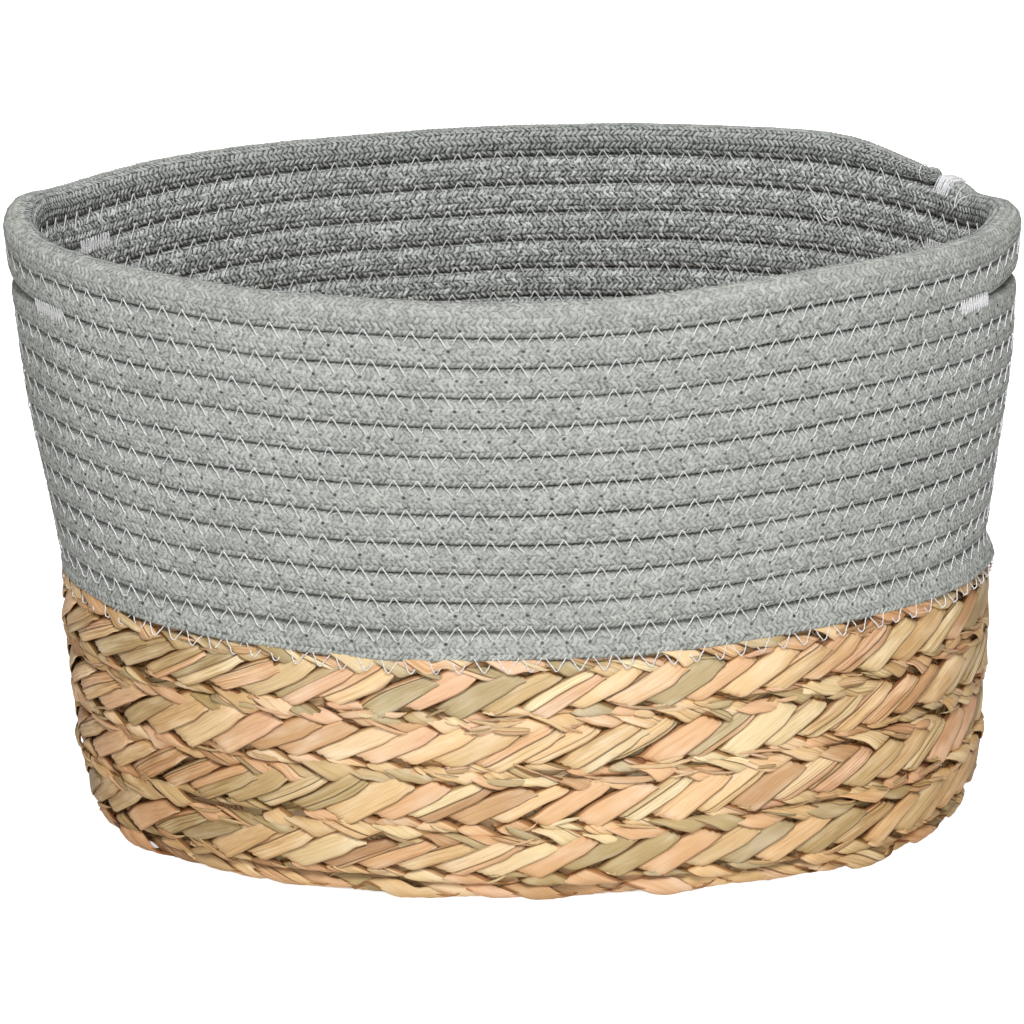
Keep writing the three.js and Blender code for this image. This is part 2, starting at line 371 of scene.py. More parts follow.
    def slot_shift(self, around, turns):
        """How far a rope row is pushed up, or down, by a hand slot."""
        slot_row = self.rope.rows - self.slots.rows_above
        rows_down = np.ceil(slot_row - turns) - 1
        down = -self.slots.drop * (1 - rows_down / (slot_row - 1))
        return np.where(turns >= slot_row, self.slots.lift, down) * self.slot_share(around)

    def end_lift(self, past_end):
        """How far the row beside the rope's end stands up, by the way past that end."""
        return self.rope.end_lift * (1 - smooth(past_end, 3 * MM, 17 * MM))

    def frame(self, around, low, high, inset=0.0):
        """The middle of a row between two heights, with the ways out of the wall and to its edge."""
        middle = (low + high) / 2
        outward = unit(self.wall_point(around, middle, MM) - self.wall_point(around, middle))
        upward = (self.wall_point(around, high) - self.wall_point(around, low)) / 2
        return wobble(self.wall_point(around, middle, -inset)), outward, upward


def wobble(points):
    """Shifts points a little, all neighbours alike, because hand-guided rows are never true."""
    waves = np.array([[61, 23, 90], [-37, 74, 131], [112, -66, 47], [18, 129, -73]], float)
    shifts = np.zeros_like(points)
    for place, wave in enumerate(waves):
        phase = points @ wave + 1.7 * place
        shifts += stack(np.sin(phase), np.sin(phase * 1.13 + 2), np.sin(phase * 0.87 + 4))
    return points + shifts * np.array([0.12, 0.12, 0.1]) * MM


def guide_mesh(name, lines, **attributes):
    """Lines of points as a mesh of edges, with one vector or number at each point."""
    points, steps = [], []
    for line in lines:
        steps += [(len(points) + place, len(points) + place + 1) for place in range(len(line) - 1)]
        points += [tuple(point) for point in line]
    mesh = bpy.data.meshes.new(name)
    mesh.from_pydata(points, steps, [])
    for label, values in attributes.items():
        values = np.asarray(values, np.float32)
        if values.ndim == 2:
            mesh.attributes.new(label, "FLOAT_VECTOR", "POINT").data.foreach_set("vector", values.ravel())
        else:
            mesh.attributes.new(label, "FLOAT", "POINT").data.foreach_set("value", values)
    return mesh


def row_guide(name, row, **attributes):
    """A row's middle line as a guide, and how far along it each of its points lies."""
    centre, outward, upward = row
    steps = np.linalg.norm(np.diff(centre, axis=0), axis=1)
    mesh = guide_mesh(name, [centre], outward=outward, upward=upward, **attributes)
    return mesh, np.concatenate([[0], np.cumsum(steps)])


def rope_guide(winding, seam_lengths):
    """The rope's middle line, with its girth, its crown on the rim, and the seams beside it."""
    rope, turns = winding.rope, winding.rope_turns
    around = winding.rope_angle(turns)
    shift = winding.slot_shift(around, turns)
    low = winding.seam_height(turns) + shift
    high = winding.seam_height(turns + 1) + shift
    to_end, to_start = (rope.rows - turns) * TURN_LENGTH, turns * TURN_LENGTH
    taper = 1 - (1 - rope.end_girth) * (1 - smooth(to_end, 3 * MM, 50 * MM))
    sag = (high - low) / 2 * (1 - taper)  # a thinner rope still lies on the row below
    tuck = rope.end_tuck * (1 - smooth(to_end, 0, 40 * MM))
    rounded_end = np.minimum((to_end + 0.5 * MM) / (3 * MM), 1)
    ends = rounded_end * np.minimum((to_start + 4 * MM) / (10 * MM), 1)
    waist = 1 - 0.26 * np.exp(-(((to_end - 7.5 * MM) / (1.6 * MM)) ** 2))  # a thread ties the end
    pressed = 0.9 * MM * smooth(np.sin(around), 0.1, 0.6)
    last_row = turns >= rope.rows - 1
    pressed = pressed - winding.end_lift((turns - rope.rows + 1) * TURN_LENGTH) * last_row
    return row_guide(
        "rope_guide",
        winding.frame(around, low - sag, high - sag, tuck),
        girth=np.sqrt(np.clip(ends * (2 - ends), 0.1, 1)) * taper * waist,
        pressed=pressed,
        crown=smooth(turns, rope.rows - 1.001, rope.rows - 0.999),
        seam_below=seam_lengths,
        seam_above=np.interp(turns + 1, turns, seam_lengths, right=NO_SEAM),
    )


def plait_turns(rows):
    steps = round((rows + PLAIT_END - PLAIT_START) * STEPS_PER_TURN)
    return np.linspace(PLAIT_START, rows + PLAIT_END, steps + 1)


def plait_guide(winding):
    """The middle line of the plait in the wall, with the way up to its edge."""
    plait = winding.plait
    rows = plait.wall_rows
    turns = plait_turns(rows)
    row = np.floor(turns)
    share = turns - row
    low = np.where(row < 1, winding.wall_foot, winding.rising_edge(row - 1, share))
    high = np.where(row < rows, winding.rising_edge(row, share), winding.row_edge(row, 1 + share))
    low = low - np.where(row < 1, plait.wall_lap / 2, plait.wall_lap)
    return row_guide("plait_guide", winding.frame(winding.plait_angle(turns), low, high))


def base_guide(winding):
    """The middle line of the plait in the base, from the core to the outer edge."""
    oval, plait = winding.oval, winding.plait
    rows = plait.base_rows
    pitch = (oval.foot_half_width + oval.base_margin) / rows
    turns = plait_turns(rows)
    around = winding.plait_angle(turns)
    row = np.floor(turns)
    ramp = winding.ramp(turns - row)
    far_in, middling, far_out = (pitch * (rows - np.clip(row + more, 0, rows)) for more in (-1, 0, 1))
    inner = mix(far_in, middling, ramp) + plait.base_lap
    outer = mix(middling, far_out, ramp)
    height = plait.base_thickness / 2
    centre = winding.base_point(around, (inner + outer) / 2, height)
    upward = (winding.base_point(around, outer, height) - winding.base_point(around, inner, height)) / 2
    return row_guide("base_guide", (centre, np.broadcast_to([0.0, 0.0, -1.0], centre.shape), upward))


def seam_guide(winding):
    """The line under the rope, where it is sewn to the row below."""
    turns, half = winding.rope_turns, winding.rope_pitch / 2
    around = winding.rope_angle(turns)
    above = winding.slot_shift(around, turns + 1e-6)
    below = winding.slot_shift(around, np.maximum(turns - 1, 0) + 1e-6)
    seam = winding.seam_height(turns) + (above + np.where(turns > 1, below, above)) / 2
    on_plait = 1 - smooth(turns, 0.99, 1.0)
    return row_guide(
        "seam_guide",
        winding.frame(around, seam - half, seam + half),
        face=mix(winding.rope.width / 2, PLAIT_FACE, on_plait),
        loose=mix(ROPE_LOOSENESS, PLAIT_LOOSENESS, on_plait),
    )


# The loose threads at the rope's end, as places on the wall. Those on the wall's inner face have the
# millimetres past the end and the millimetres under the rim's seam.
TANGLES = (
    ((-49, 7.2), (-46, 10.4), (-46.7, 12.9), (-45, 15.4), (-43, 17.9), (-39, 15.7), (-37.3, 17.9)),
    ((-43, 8.5), (-41, 12.6), (-40, 14.8), (-41.3, 17.0), (-43.6, 16.0)),
)
# Those round a row have the millimetres past the end, the degrees from the top of the row towards the
# inside, and the share of the row's full girth.
LOOPS = (
    ((-8.5, -70, 0.48), (-8.2, -20, 0.49), (-7.6, 30, 0.52), (-7.0, 80, 0.57), (-6.6, 130, 0.55)),
    ((10.5, 0, 1.0), (12, 25, 1.06), (13.4, 52, 1.1), (14.8, 76, 1.12), (15.8, 50, 1.12), (16.6, 15, 1.0)),
    ((14.4, 74, 1.12), (13.2, 88, 1.12), (11.6, 100, 1.05)),
)
# The small tack's legs have their millimetres past the end, and the degrees at their two ends.
TACK_LEGS = [0.3 + 0.49 * leg + (0.2 if leg % 3 else 0) for leg in range(15)]
TACK_TURNS = (58, -25)
TACK_MIDDLE, TACK_ON = 18.5, 0.275  # the degrees and the millimetres further on at a leg's middle
TACK_GIRTH, TACK_PRESS = 1.04, 0.1 * MM
ROW_POWER = 2.3  # how square the rim row is
END_SAG = 0.44  # how far the rope's drawn-in end lies lower, in half rows


def loose_lines(winding):
    """The loose threads at the rope's end, each a line of its own."""
    rope = winding.rope
    half_width, half_pitch = rope.width / 2, winding.rope_pitch / 2

    def wall_place(past, height, outward):
        return winding.wall_point(
            winding.rope_angle(rope.rows + past * MM / TURN_LENGTH), height, outward
        )

    def round_row(past, degrees, girth, on=0.0, lower=0.0):
        """A place round the rope's end, or past it round the row beside it."""
        at_end = past < 0
        row = rope.rows if at_end else rope.rows - 1
        seam = winding.seam_height(row + past * MM / TURN_LENGTH)
        inward, upward = math.sin(math.radians(degrees)), math.cos(math.radians(degrees))
        top = rope.crown if at_end else rope.crown + winding.end_lift(past * MM) - lower
        tall = top if upward > 0 else half_pitch
        radius = abs(inward / half_width) ** ROW_POWER + abs(upward / tall) ** ROW_POWER
        radius = radius ** (-1 / ROW_POWER) * girth
        height = seam + half_pitch - (half_pitch * END_SAG if at_end else 0.0) + radius * upward
        return wall_place(past + on, height, -radius * inward - (rope.end_tuck if at_end else 0.0))

    def inner_face(past, under):
        seam = winding.seam_height(rope.rows + past * MM / TURN_LENGTH)
        return wall_place(past, seam - under * MM, -half_width - 0.25 * MM)

    threads = [[inner_face(*place) for place in places] for places in TANGLES]
    threads += [[round_row(*place) for place in places] for places in LOOPS]
    zigzag = []
    for leg, past in enumerate(TACK_LEGS):
        for degrees, on in ((TACK_TURNS[leg % 2], 0.0), (TACK_MIDDLE, TACK_ON)):
            zigzag.append(round_row(past, degrees, TACK_GIRTH, on, TACK_PRESS))
    return [*threads, zigzag]


# Node trees


def either_side(operation):
    """Two methods, for a Value that stands before a sign in a sum and for one that stands after."""
    return (
        lambda value, other: value.plan.math(operation, value, other),
        lambda value, other: value.plan.math(operation, other, value),
    )


class Value:
    """A socket of a node tree. Each sum with it adds one Math node."""

    __add__, __radd__ = either_side("ADD")
    __sub__, __rsub__ = either_side("SUBTRACT")
    __mul__, __rmul__ = either_side("MULTIPLY")
    __truediv__, __rtruediv__ = either_side("DIVIDE")
    __pow__, __rpow__ = either_side("POWER")
    __mod__, __rmod__ = either_side("FLOORED_MODULO")

    def __init__(self, plan, socket):
        self.plan = plan
        self.socket = socket

    def __abs__(self):
        return self.plan.math("ABSOLUTE", self)


class Plan:
    """Writes one node tree, for a shape or for a finish."""

    def __init__(self, tree):
        self.tree = tree

    def node(self, kind, inputs=(), **settings):
        node = self.tree.nodes.new(kind)
        for name, value in settings.items():
            setattr(node, name, value)
        for name, value in dict(inputs).items():
            self.feed(node.inputs[name], value)
        return node

    def feed(self, socket, value):
        if isinstance(value, Value):
            self.tree.links.new(value.socket, socket)
        else:
            socket.default_value = value

    def value(self, kind, output=0, inputs=(), **settings):
        return Value(self, self.node(kind, inputs, **settings).outputs[output])

    def math(self, operation, *values):
        return self.value("ShaderNodeMath", inputs=dict(enumerate(values)), operation=operation)

    def vector(self, operation, *values, **inputs):
        output = "Value" if operation == "LENGTH" else "Vector"
        inputs = {**dict(enumerate(values)), **inputs}
        return self.value("ShaderNodeVectorMath", output, inputs, operation=operation)

    def point(self, x=0.0, y=0.0, z=0.0):
        return self.value("ShaderNodeCombineXYZ", inputs={"X": x, "Y": y, "Z": z})

    def parts(self, vector):
        node = self.node("ShaderNodeSeparateXYZ", {"Vector": vector})
        return [Value(self, socket) for socket in node.outputs]

    def moved(self, point, *moves):
        """A point moved along each direction by its amount."""
        for direction, amount in moves:
            point = self.vector("ADD", point, self.vector("SCALE", direction, Scale=amount))
        return point

    def step(self, value, low, high):
        """0 below low, 1 above high, and smooth between them."""
        return self.value(
            "ShaderNodeMapRange", inputs={"Value": value, "From Min": low, "From Max": high},
            interpolation_type="SMOOTHSTEP",
        )

    def noise(self, vector, scale=1.0, detail=1.0, roughness=0.5):
        """Smooth noise round 0, from about -0.5 to 0.5."""
        return self.value(
            "ShaderNodeTexNoise",
            inputs={"Vector": vector, "Scale": scale, "Detail": detail, "Roughness": roughness},
        ) - 0.5

    def hashed(self, x, y, z):
        """A number from 0 to 1 that is always the same for the same three numbers."""
        return self.value(
            "ShaderNodeTexWhiteNoise", inputs={"Vector": self.point(x, y, z)}, noise_dimensions="3D"
        )


KINDS = {float: "NodeSocketFloat", int: "NodeSocketInt"}


def titled(label):
    return label.replace("_", " ").title()


class ShapePlan(Plan):
    """A Geometry Nodes tree. Its inputs are set on the modifier, and are values of the plan here."""

    def __init__(self, name, **inputs):
        super().__init__(bpy.data.node_groups.new(name, "GeometryNodeTree"))
        face = self.tree.interface
        face.new_socket("Guide", in_out="INPUT", socket_type="NodeSocketGeometry")
        for label, default in inputs.items():
            socket = face.new_socket(titled(label), in_out="INPUT", socket_type=KINDS[type(default)])
            socket.default_value = default
        face.new_socket("Finish", in_out="INPUT", socket_type="NodeSocketMaterial")
        face.new_socket("Shape", in_out="OUTPUT", socket_type="NodeSocketGeometry")
        entry = self.tree.nodes.new("NodeGroupInput")
        for label in inputs:
            setattr(self, label, Value(self, entry.outputs[titled(label)]))
        self.material = Value(self, entry.outputs["Finish"])
        self.place = self.value("GeometryNodeInputPosition")
        self.curve = self.shape("MeshToCurve", Mesh=Value(self, entry.outputs["Guide"]))

    def shape(self, kind, settings=(), **inputs):
        """What a geometry node makes of its inputs, which are named as in Blender."""
        named = {label.replace("_", " "): value for label, value in inputs.items()}
        return self.value("GeometryNode" + kind, inputs=named, **dict(settings))

    def named(self, label, kind="FLOAT"):
        return self.shape("InputNamedAttribute", {"data_type": kind}, Name=label)

    def store(self, shape, label, value, kind="FLOAT_VECTOR", domain="POINT"):
        settings = {"data_type": kind, "domain": domain}
        return self.shape("StoreNamedAttribute", settings, Geometry=shape, Name=label, Value=value)

    def sample(self, there, label, kind="FLOAT"):
        """What the guide says at a length along it, and its place there."""
        node = self.node(
            "GeometryNodeSampleCurve",
            {"Curves": self.curve, "Length": there, "Value": self.named(label, kind)},
            mode="LENGTH", data_type=kind,
        )
        return Value(self, node.outputs["Value"]), Value(self, node.outputs["Position"])

    def wall_at(self, there):
        """The ways out of the wall and up to the row's edge, and the guide's place."""
        outward, place = self.sample(there, "outward", "FLOAT_VECTOR")
        return outward, self.sample(there, "upward", "FLOAT_VECTOR")[0], place

    def line(self, start, end, points):
        whole = self.shape("CurvePrimitiveLine", Start=self.point(start), End=self.point(end))
        return self.shape("ResampleCurve", {"mode": "COUNT"}, Curve=whole, Count=points)

    def tube(self, curve, radius, sides):
        ring = self.shape("CurvePrimitiveCircle", Resolution=sides, Radius=radius)
        return self.shape("CurveToMesh", Curve=curve, Profile_Curve=ring, Fill_Caps=True)

    def copies(self, shape, amount, label):
        """Copies of a shape in one mesh, and the number of each copy, from 0."""
        shape = self.shape("GeometryToInstance", Geometry=shape)
        node = self.node(
            "GeometryNodeDuplicateElements", {"Geometry": shape, "Amount": amount}, domain="INSTANCE"
        )
        copies, own = (Value(self, socket) for socket in node.outputs)
        copies = self.store(copies, label, own, "INT", "INSTANCE")
        return self.shape("RealizeInstances", Geometry=copies), self.named(label, "INT") * 1.0

    def finish(self, shape, position=None):
        """Ends the tree: the points go to their positions, in single meshes with their finish."""
        if position:
            shape = self.shape("SetPosition", Geometry=shape, Position=position)
        shape = self.shape("RealizeInstances", Geometry=shape)
        shape = self.shape("SetShadeSmooth", Geometry=shape, Shade_Smooth=True)
        shape = self.shape("SetMaterial", Geometry=shape, Material=self.material)
        self.feed(self.tree.nodes.new("NodeGroupOutput").inputs[0], shape)
        return self.tree


# Shapes: each tree bends straight bars or lines along X onto the guide


def rope_tree():
    """Braided rope: every other ring of points is the crest of a strand, and the rings zigzag."""
    plan = ShapePlan(
        "Braided Rope", start=0.0, end=1.0, rings=100, sides=24, columns=12.0, stroke=0.001,
        slant=0.001, relief=0.0002, half_width=0.005, crown_height=0.005, squareness=2.0,
    )
    line = plan.line(plan.start, plan.end, plan.rings)
    bar = plan.tube(line, 1.0, plan.sides)
    along, out, up = plan.parts(plan.place)
    turn = plan.math("ARCTAN2", out, up)  # 0 on top, and it jumps on the underside
    column = (turn / math.tau + 0.5) * plan.columns
    zigzag = abs(column % 2.0 - 1.0)
    middle = 1.0 - abs((column % 1.0) * 2.0 - 1.0)
    crest = plan.math("COSINE", along / plan.stroke * math.tau)
    there = along + (zigzag - 0.5) * plan.slant
    outward, upward, place = plan.wall_at(there)
    girth, above, below, crown, pressed = (
        plan.sample(there, label)[0]
        for label in ("girth", "seam_above", "seam_below", "crown", "pressed")
    )
    crown = crown * plan.math("GREATER_THAN", up, 0.001)
    half_height = plan.vector("LENGTH", upward)
    up_unit = plan.vector("NORMALIZE", upward)
    height = half_height + crown * (plan.crown_height - half_height - pressed)
    power = plan.squareness - crown * (plan.squareness - ROW_POWER)
    size = plan.vector("LENGTH", plan.point(out, up))
    across = abs(out) / size
    rise = abs(up) / size
    radius = ((across / plan.half_width) ** power + (rise / height) ** power) ** (-1.0 / power)
    lump = plan.noise(place, 240.0) * (0.5 * MM)
    bump = plan.relief * (crest * (0.3 + 0.7 * middle) + 0.5 * middle - 0.5)
    radius = (radius + bump + lump) * girth
    position = plan.moved(place, (outward, radius * out / size), (up_unit, radius * up / size))
    bar = plan.store(bar, "braid", plan.point(along / plan.stroke, column, there))
    bar = plan.store(bar, "sewn", plan.point(below, above, radius * up / size))
    return plan.finish(bar, position)


OVER_FROM, OVER_TO = (1.25, 1.8), (5.2, 5.75)  # where a strand comes up and dives, in crossings
LEAF_SHIFT = 3.5  # how many crossings before its fold a leaf starts
LEG_STRAY, LEG_TILT = 1.6 * MM, 4 * MM  # how far a leg of a strand lies off its place, and askew
LEG_TURN_OVER = 0.86  # from here on, one leg's width and place give way to the next's
PINCH = 0.22  # how much narrower a strand is where it dives
RAGGED_FOLD = 4.6 * MM  # how unevenly the strands fold back at the edge
CREASE, CRUMPLE = 0.25 * MM, 1.4 * MM  # the lumps of a smooth leaf and of a crumpled one


def plait_tree():
    """Flat strands plaited: over four and under two, and folded back at both edges of the row."""
    plan = ShapePlan(
        "Straw Plait", start=0.0, end=1.0, rings=100, strands=7, spacing=0.01, row_height=0.017,
        width=0.005, thickness=0.001, layer=0.001, bulge=0.0005, shingle=0.15, fold_run=0.0, seed=0.0,
    )
    strands, spacing, layer = plan.strands, plan.spacing, plan.layer
    line = plan.line(plan.start, plan.end, plan.rings)
    bars, strand = plan.copies(plan.tube(line, 1.0, 10), strands, "strand")
    along, out, up = plan.parts(plan.place)
    seed = strand * 7.31 + plan.seed
    run = along - strand * spacing
    fold_cost = (math.pi / 2 - 1) * layer  # a fold takes some of the strand's length
    span = plan.row_height + 2.0 * fold_cost
    slope = 2.0 * span / (strands * spacing)
    lean = plan.math("ARCTANGENT", slope)

    def hashed(leg, kind):
        return plan.hashed(leg, seed, kind) - 0.5

    crossing = run * slope / span
    leg_number = plan.math("FLOOR", crossing)
    part = crossing - leg_number
    turn_over = plan.step(part, LEG_TURN_OVER, 1.0)

    def mixed(this, following):
        return this + (following - this) * turn_over

    tilt = hashed(leg_number, 3.5) * (part - 0.5)
    next_tilt = hashed(leg_number + 1.0, 3.5) * -0.5
    stray = mixed(
        hashed(leg_number, 2.5) * LEG_STRAY + tilt * LEG_TILT,
        hashed(leg_number + 1.0, 2.5) * LEG_STRAY + next_tilt * LEG_TILT,
    )
    broad = mixed(hashed(leg_number, 1.5), hashed(leg_number + 1.0, 1.5))
    middle = (run * slope + stray) / span
    crossed = 2.0 * run / spacing - plan.math("FLOOR", middle) * strands
    dive = plan.step(abs(abs(crossed - strands / 2.0) - 2.0), 0.0, 0.9)
    pinch = 1.0 - PINCH * (1.0 - dive)
    width = plan.width * (1.02 + 0.5 * broad) * pinch
    cross = out * width / 2.0
    thick = plan.math("SIGN", up) * abs(up) ** 0.6 * plan.thickness / 2.0
    thick = thick * (1.0 + 0.5 * plan.noise(plan.point(along * 60.0, seed, 3.0), 1.0))

    # Unfolded, a strand runs straight on. Each fold turns it back to the other edge.
    reach = run * slope + cross * plan.math("COSINE", lean) + stray
    leg = plan.math("FLOOR", reach / span)
    way = 1.0 - (leg % 2.0) * 2.0  # 1 on the way down, -1 on the way up
    flat = along - cross * plan.math("SINE", lean)
    passed = (flat - strand * spacing + reach / slope) / spacing - leg * strands
    passed = passed + plan.noise(plan.point(along * 90.0, seed, 11.0), 1.0) * 0.25
    over = plan.step(passed, *OVER_FROM) - plan.step(passed, *OVER_TO)
    face = over * 2.0 - 1.0

    near = plan.math("FLOOR", reach / span + 0.5)
    edge = 1.0 - (near % 2.0) * 2.0
    signed_off = (reach / span - near) * span
    off = abs(signed_off)
    bend = plan.math("MINIMUM", off / layer, math.pi / 2)
    run_on = plan.fold_run * plan.math("SIGN", signed_off) * bend / (math.pi / 2)
    there = flat + run_on * (1.0 - 2.0 * off / span)
    turned = plan.math("SINE", bend)
    past = plan.math("MAXIMUM", off - layer * (math.pi / 2), 0.0)
    ragged = hashed(near, 4.5) * RAGGED_FOLD * (1.0 - 2.0 * off / span)
    inset = layer - (layer + thick) * plan.math("COSINE", bend) + past + ragged
    height = 1.0 - inset / (plan.row_height / 2.0)

    outward, upward, place = plan.wall_at(there)
    room = plan.math("MINIMUM", plan.vector("LENGTH", upward) / plan.row_height * 4.0, 1.0)
    leaf = plan.math("FLOOR", (run * 2.0 / spacing + LEAF_SHIFT) / (2.0 * strands))
    at_fold = 1.0 - plan.step(off, 1 * MM, 4 * MM)
    crumpled = plan.math("MAXIMUM", plan.hashed(leaf, strand, 4.5) - 0.45, at_fold - 0.4)
    crease = plan.noise(plan.point(along * 120.0, out * 2.6, seed), 1.0, 2.0)
    crease = crease * (CREASE + CRUMPLE * plan.math("MAXIMUM", crumpled, 0.0))
    proud = plan.math("MAXIMUM", ragged * -1.0, 0.0) * 0.3
    swell = layer + plan.bulge * (1.0 - out * out) + crease + proud
    depth = face * (way * swell + plan.shingle * cross) - way * thick
    position = plan.moved(place, (outward, depth * turned * room), (upward, edge * height))
    bars = plan.store(bars, "straw", plan.point(along, out, strand))
    bars = plan.store(bars, "weave", plan.point(passed + leg * strands, way, face))
    return plan.finish(bars, position)


SLIVER_LENGTH = (7 * MM, 17 * MM)  # of the shortest, and how much more the longest has
SLIVER_WIDTH = (0.7 * MM, 2.3 * MM)  # likewise
SLIVER_BOW, SLIVER_THICKNESS = 1.6 * MM, 0.16 * MM
SLIVER_PROUD, SLIVER_SPREAD, SLIVER_TUCK = 0.4 * MM, 0.7 * MM, 1.6 * MM  # its middle, and its ends


def sliver_tree():
    """Loose slivers of leaf: short flat pointed strips, scattered along the edges of the rows."""
    plan = ShapePlan(
        "Loose Slivers", start=0.0, end=1.0, count=100, row_height=0.017, depth=0.0019, seed=0.0,
    )
    strip = plan.tube(plan.line(-0.5, 0.5, 7), 1.0, 6)
    strips, own = plan.copies(strip, plan.count, "number")
    share, out, up = plan.parts(plan.place)

    def hashed(kind):
        return plan.hashed(own, plan.seed, kind)

    home = plan.start + (plan.end - plan.start) * hashed(1.5)
    size = SLIVER_LENGTH[0] + SLIVER_LENGTH[1] * hashed(2.5) * hashed(2.6)
    side = plan.math("SIGN", hashed(3.5) - 0.5)
    # Most slivers lie along the leaves or across them, some along the row.
    tilt = (hashed(4.5) - 0.5) * 0.5 + plan.math("SIGN", hashed(5.5) - 0.42) * 0.33 * hashed(5.6)
    width = SLIVER_WIDTH[0] + SLIVER_WIDTH[1] * hashed(6.5) ** 2.0
    width = width * (1.0 - 0.85 * (abs(share) * 2.0) ** 3.0)
    cross = out * width / 2.0
    bow = (hashed(7.5) - 0.5) * SLIVER_BOW * (4.0 * share * share)
    far = share * size
    across = far * plan.math("SINE", tilt) + (cross + bow) * plan.math("COSINE", tilt)
    there = home + far * plan.math("COSINE", tilt) - (cross + bow) * plan.math("SINE", tilt)
    level = plan.row_height / 2.0 * side * (0.62 + 0.34 * hashed(8.5)) + across
    proud = SLIVER_SPREAD * hashed(9.5) + SLIVER_PROUD - SLIVER_TUCK * (share * 2.0) ** 4.0
    face = 1.0 - 2.0 * plan.math("GREATER_THAN", hashed(10.5), 0.75)
    outward, upward, place = plan.wall_at(there)
    depth = (plan.depth + proud) * face + up * SLIVER_THICKNESS
    position = plan.moved(place, (outward, depth), (plan.vector("NORMALIZE", upward), level))
    strips = plan.store(strips, "straw", plan.point(home + far, out, own))
    strips = plan.store(strips, "weave", plan.point(0.0, 0.0, 1.0))
    return plan.finish(strips, position)


def loose_tree():
    """Loose thread: a thin tube through the guide's points."""
    plan = ShapePlan("Loose Thread", radius=0.0002)
    curve = plan.shape("CurveSplineType", {"spline_type": "CATMULL_ROM"}, Curve=plan.curve)
    curve = plan.shape("SetSplineResolution", Geometry=curve, Resolution=5)
    return plan.finish(plan.tube(curve, plan.radius, 6))


HOLE_SPREAD = 0.6  # how far a needle hole may stray along the seam, in stitches
LEG_SEED, REACH_SEED = 7.31, 3.77  # steps between the legs, in the noise for their place and reach
REACH_SPREAD, TACK_SPREAD = 1.4 * MM, 2.2 * MM  # how far the legs' reach differs, and more in a tack
CUT_IN = 0.62 * MM  # how deep the taut thread cuts into the rope
PLAIT_SINK, PLAIT_THINNER = 0.35, 400.0  # for each metre of looseness over the rope's


def thread_tree():
    """A thread that zigzags over a seam, on the outer (1) or the inner (-1) face of the wall."""
    plan = ShapePlan(
        "Zigzag Thread", start=0.0, end=1.0, points=100, stitch=0.004, above=0.002, below=0.005,
        side=1.0, radius=0.0003, peak_sink=0.001, foot_sink=0.001, seed=1.0, tack=0.0,
        squareness=3.0,
    )
    stitch, seed, tack = plan.stitch, plan.seed, plan.tack
    radius, power = plan.radius, plan.squareness
    line = plan.line(plan.start, plan.end, plan.points)
    along, _, _ = plan.parts(plan.place)
    legs = along / stitch
    share = abs(legs % 2.0 - 1.0)  # 0 at a peak and 1 at a foot
    rising = plan.math("LESS_THAN", legs % 2.0, 1.0) * 2.0 - 1.0
    leg = plan.math("ROUND", legs)
    jitter = plan.noise(plan.point(leg * LEG_SEED, seed), 1.0)
    there = along + jitter * stitch * HOLE_SPREAD
    outward, upward, place = plan.wall_at(there)
    face = plan.sample(there, "face")[0]
    looseness = plan.sample(there, "loose")[0]
    half_row = plan.vector("LENGTH", upward)
    reach = plan.noise(plan.point(leg * REACH_SEED, seed, 5.0), 1.0) * (REACH_SPREAD + TACK_SPREAD * tack)
    rounded = (share * share + 0.0025) ** 0.5 - 0.01
    rise = plan.above - rounded * (plan.above + plan.below + reach)
    # The rope's face is rounded towards the seam, and the taut thread spans the groove.
    near_seam = plan.math("MINIMUM", 1.0 - abs(rise) / half_row, 0.68)
    near_seam = plan.math("MAXIMUM", near_seam, 0.0) ** power
    round_face = face * (1.0 - near_seam) ** (1.0 / power)
    turned = plan.math("MAXIMUM", plan.math("MINIMUM", plan.parts(outward)[0] * 5.0, 1.0), -1.0)
    sink = plan.peak_sink * (1.0 - plan.step(share, 0.0, 0.1))
    sink = sink + plan.foot_sink * plan.step(share, 0.82, 1.0)
    # The taut thread cuts into the soft rope, one leg of each stitch sooner than the other.
    cut_in = plan.noise(plan.point(plan.math("FLOOR", legs) * 2.9, seed, 2.0), 1.0)
    cut_in = 0.5 - 0.38 * rising * turned + cut_in * 0.5
    deep = plan.step(share - cut_in, -0.1, 0.12) * CUT_IN
    sink = sink + deep * (1.0 - tack) - tack * (0.05 * MM)
    loose = plan.noise(plan.point(leg * 5.13, seed, 9.0), 1.0) * looseness
    sink = sink + (looseness - ROPE_LOOSENESS) * PLAIT_SINK  # on the plait it lies partly hidden
    out = (round_face + radius * 0.75 - sink + loose) * plan.side
    position = plan.moved(place, (outward, out), (plan.vector("NORMALIZE", upward), rise))
    line = plan.shape("SetPosition", Geometry=line, Position=position)
    line = plan.shape("SetCurveRadius", Curve=line, Radius=1.12 - looseness * PLAIT_THINNER)
    return plan.finish(plan.tube(line, radius, 5))


# Finishes

WHITE = (1, 1, 1)
# Painted shade: darker gaps on the inside, in the grooves along the seams, and in the needle holes.
INSIDE_GAP_SHADE, GROOVE_SHADE, NEEDLE_HOLE_SHADE = (0.055, 0.06, 0.055), (0.1, 0.105, 0.098), (0.05, 0.054, 0.05)
INSIDE_TINT, LEFT_END_GREY = (0.995, 1.01, 1.045), (0.5, 0.51, 0.49)
YARN_TINTS = ((0.15, (0.79, 0.8, 0.79)), (0.5, (0.99, 0.99, 0.99)), (0.85, (1.26, 1.26, 1.25)))


